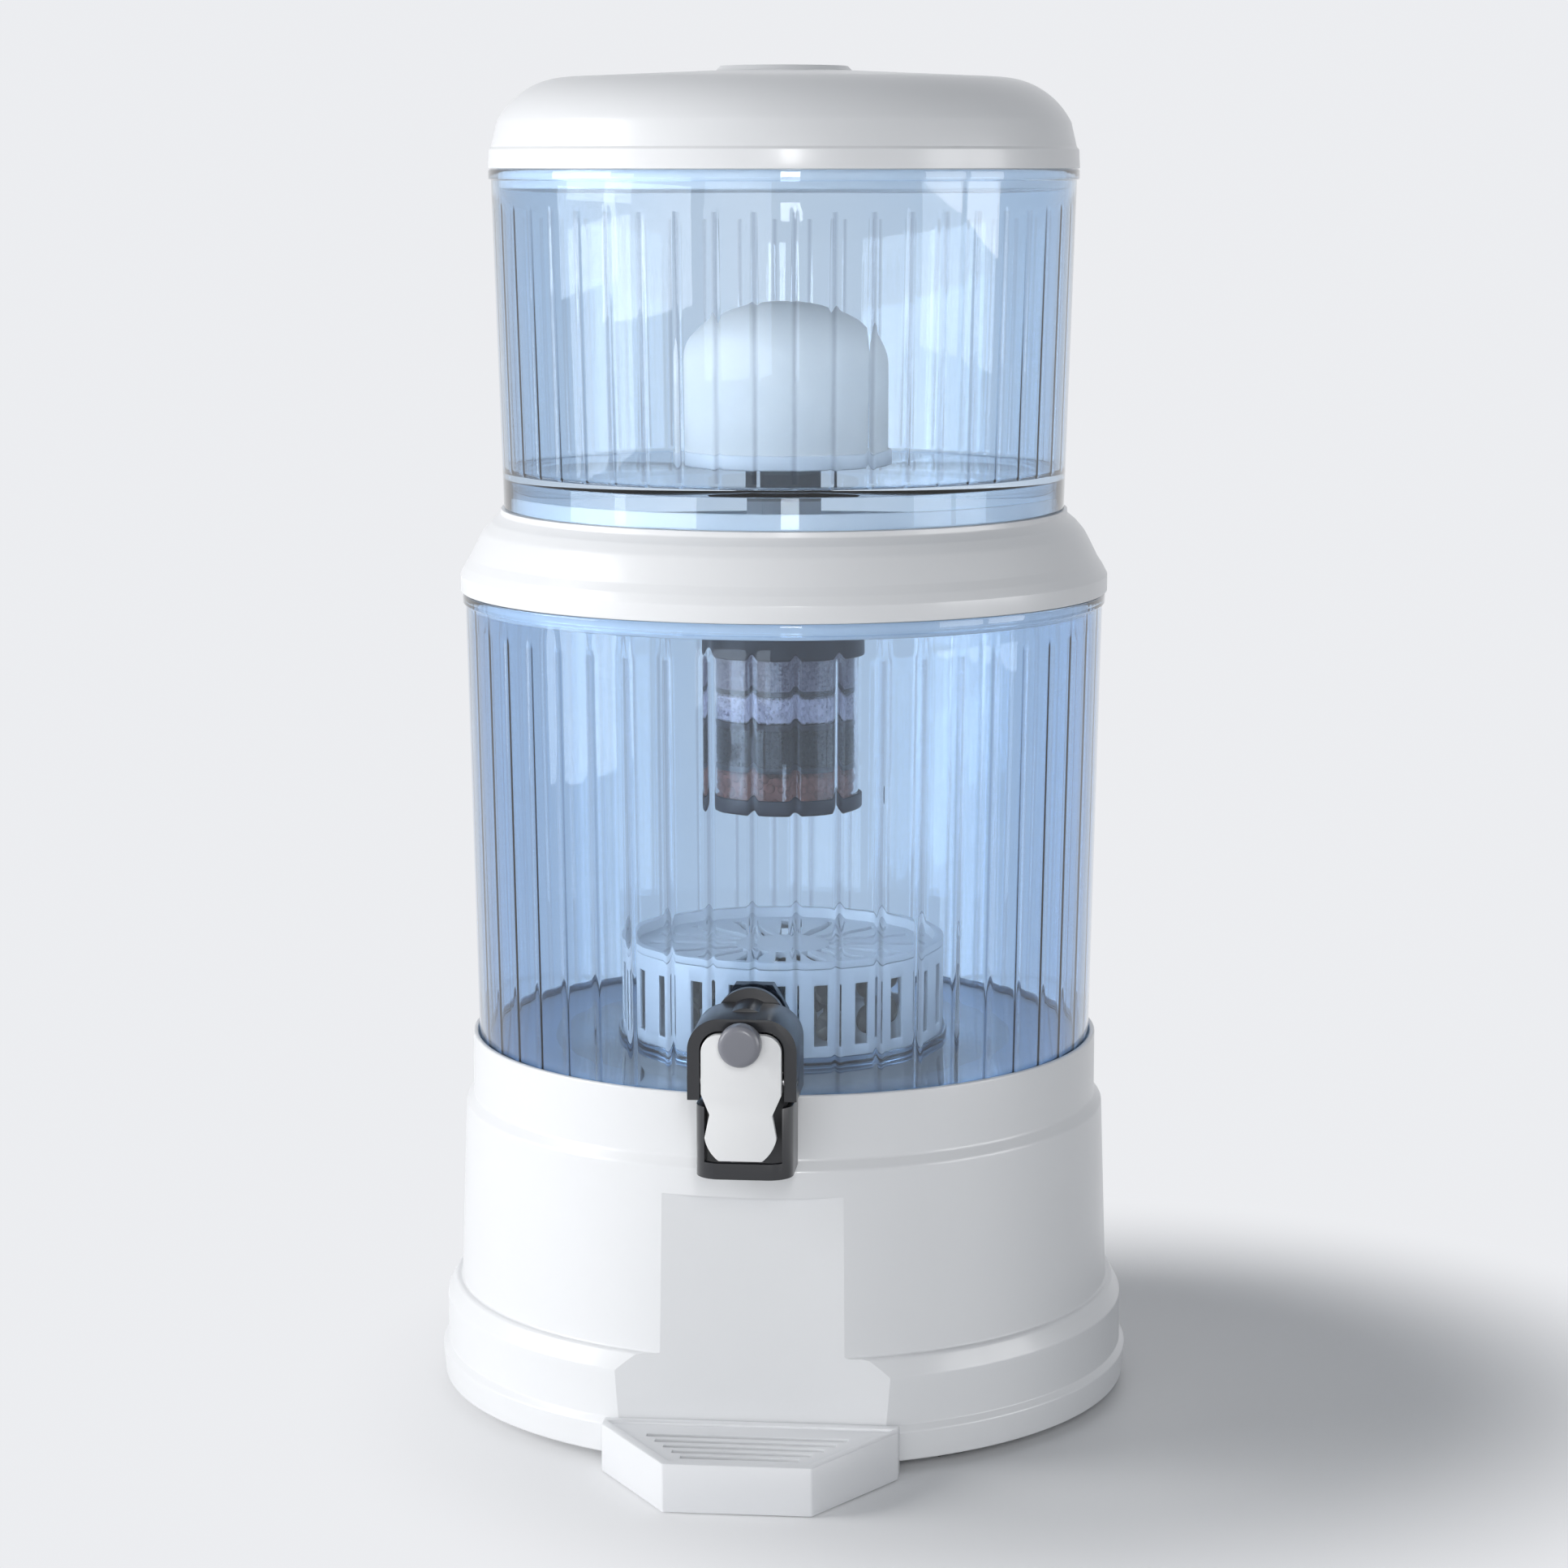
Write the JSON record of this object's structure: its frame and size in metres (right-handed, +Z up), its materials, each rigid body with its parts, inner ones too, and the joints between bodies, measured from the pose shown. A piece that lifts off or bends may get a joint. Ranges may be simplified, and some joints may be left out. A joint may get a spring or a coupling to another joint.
{
  "type": "gravity water filter",
  "caption": "Counter-top gravity water filter: domed lid, stacked fluted clear blue tanks with a ceramic dome and a media cartridge, white stand with a press-lever tap over a drip tray.",
  "frame": {"origin": "on the vertical axis of the tanks, at the level of the table", "axes": "+Z up along the axis of the tanks, -Y towards the tap and the drip tray, +X to the viewer's right"},
  "size_m": [0.302, 0.347, 0.5717],
  "materials": {
    "white_plastic": "glossy moulded white plastic",
    "tank_plastic": "clear plastic with a light steel-blue tint",
    "clear_plastic": "colourless clear plastic",
    "ceramic_white": "fine matt filter ceramic",
    "dark_cap": "black moulded plastic",
    "soft_black": "black rubber",
    "soft_grey": "light grey silicone",
    "tap_charcoal": "charcoal plastic with a soft gloss",
    "lever_pearl": "pearl white plastic",
    "knob_grey": "grey plastic",
    "sand": "fine grey-purple mineral sand",
    "zeolite": "pale zeolite grains",
    "carbon": "black activated carbon grains",
    "clay_balls": "red-brown fired clay balls",
    "felt": "dark filter felt",
    "pebbles": "rough mineral stone",
    "steel": "stainless steel"
  },
  "bodies": {
    "stand": {"stand_shell": "white_plastic", "foot_ring": "soft_black"},
    "tray": {"drip_tray": "white_plastic"},
    "grille": {"drip_grille": "white_plastic"},
    "lower_tank": {"lower_tank": "tank_plastic", "tap_body": "tap_charcoal", "tap_gasket_outer": "soft_black", "tap_gasket_inner": "soft_black", "tap_nut": "tap_charcoal", "tap_bonnet": "tap_charcoal", "tap_pin": "steel"},
    "lever": {"tap_lever": "lever_pearl"},
    "valve": {"tap_stem": "tap_charcoal", "tap_knob": "knob_grey", "tap_washer": "soft_black", "tap_spring": "steel"},
    "stone_case": {"stone_case": "white_plastic", "mineral_stones": "pebbles"},
    "stone_case_lid": {"stone_case_lid": "white_plastic"},
    "cover": {"middle_cover": "white_plastic"},
    "upper_tank": {"upper_tank": "tank_plastic", "stem_nut": "white_plastic", "stem_gasket_lower": "soft_grey", "ceramic_dome": "ceramic_white", "dome_base": "white_plastic", "stem_gasket_upper": "soft_grey"},
    "lid": {"lid": "white_plastic"},
    "cartridge": {"cartridge_cap": "dark_cap", "cartridge_shell": "clear_plastic", "sand_layer": "sand", "zeolite_layer": "zeolite", "carbon_layer": "carbon", "ceramic_ball_layer": "clay_balls", "cartridge_pads": "felt", "cartridge_base": "dark_cap"}
  },
  "joints": [
    {"name": "tray_out", "type": "slide", "parent": "stand", "child": "tray", "axis": [0, -1, 0], "range_m": [0, 0.04]},
    {"name": "grille_lift", "type": "slide", "parent": "tray", "child": "grille", "axis": [0, 0, 1], "range_m": [0, 0.02]},
    {"name": "lower_tank_lift", "type": "slide", "parent": "stand", "child": "lower_tank", "axis": [0, 0, 1], "range_m": [0, 0.03]},
    {"name": "lever_press", "type": "hinge", "parent": "lower_tank", "child": "lever", "pos_m": [0, -0.17, 0.171], "axis": [1, 0, 0], "range_deg": [0, 12], "stiffness_Nm_per_rad": 0.15, "springref_deg": -2.86},
    {"name": "valve_pull", "type": "slide", "parent": "lower_tank", "child": "valve", "axis": [0, -1, 0], "range_m": [0, 0.0045]},
    {"name": "stone_case_lift", "type": "slide", "parent": "lower_tank", "child": "stone_case", "axis": [0, 0, 1], "range_m": [0, 0.025]},
    {"name": "stone_case_lid_lift", "type": "slide", "parent": "stone_case", "child": "stone_case_lid", "axis": [0, 0, 1], "range_m": [0, 0.02]},
    {"name": "cover_lift", "type": "slide", "parent": "lower_tank", "child": "cover", "axis": [0, 0, 1], "range_m": [0, 0.25]},
    {"name": "upper_tank_lift", "type": "slide", "parent": "cover", "child": "upper_tank", "axis": [0, 0, 1], "range_m": [0, 0.16]},
    {"name": "lid_lift", "type": "slide", "parent": "upper_tank", "child": "lid", "axis": [0, 0, 1], "range_m": [0, 0.05]},
    {"name": "cartridge_drop", "type": "slide", "parent": "upper_tank", "child": "cartridge", "axis": [0, 0, -1], "range_m": [0, 0.02]}
  ],
  "couplings": [
    {"joint": "valve_pull", "follows": "lever_press", "m_per_rad": 0.021}
  ]
}
